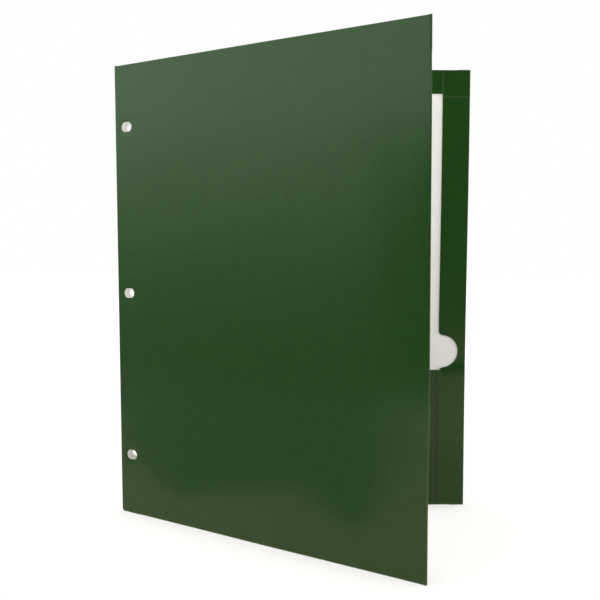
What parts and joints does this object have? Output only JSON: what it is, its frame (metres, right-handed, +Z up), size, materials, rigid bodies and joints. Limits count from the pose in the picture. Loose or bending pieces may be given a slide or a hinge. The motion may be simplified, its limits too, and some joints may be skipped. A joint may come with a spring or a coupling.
{
  "type": "two-pocket folder",
  "caption": "Pocket folder of laminated card, standing partly open, with covers hinged on a narrow spine, folded-in hems, a pocket inside each cover and a punched margin.",
  "frame": {"origin": "foot of the spine panel, midway between the two scores, on the surface the folder stands on", "axes": "+Z up along the spine, +X from the spine to the open side along the bisector of the covers, front cover on -Y and back cover on +Y"},
  "size_m": [0.2205, 0.1542, 0.2953],
  "materials": {
    "laminated_card": "gloss green film outside, bare off-white card inside",
    "set_glue": "dried translucent adhesive"
  },
  "bodies": {
    "spine": {"spine_panel": "laminated_card", "front_spine_score": "laminated_card", "back_spine_score": "laminated_card"},
    "front_side": {"front_cover": "laminated_card", "front_top_hem_fold": "laminated_card", "front_top_hem": "laminated_card", "front_side_hem_fold": "laminated_card", "front_side_hem": "laminated_card", "front_pocket_fold": "laminated_card", "front_pocket": "laminated_card", "front_top_hem_glue": "set_glue", "front_side_hem_glue": "set_glue", "front_corner_glue": "set_glue", "front_pocket_glue": "set_glue"},
    "back_side": {"back_cover": "laminated_card", "back_top_hem_fold": "laminated_card", "back_top_hem": "laminated_card", "back_side_hem_fold": "laminated_card", "back_side_hem": "laminated_card", "back_pocket_fold": "laminated_card", "back_pocket": "laminated_card", "back_top_hem_glue": "set_glue", "back_side_hem_glue": "set_glue", "back_corner_glue": "set_glue", "back_pocket_glue": "set_glue"}
  },
  "joints": [
    {"name": "front_cover_hinge", "type": "hinge", "parent": "spine", "child": "front_side", "pos_m": [0, -0.0017, 0], "axis": [0, 0, -1], "range_deg": [-18.9, 71.1]},
    {"name": "back_cover_hinge", "type": "hinge", "parent": "spine", "child": "back_side", "pos_m": [0, 0.0017, 0], "axis": [0, 0, 1], "range_deg": [-18.9, 71.1]}
  ],
  "couplings": [
    {"joint": "back_cover_hinge", "follows": "front_cover_hinge", "ratio": 1}
  ]
}
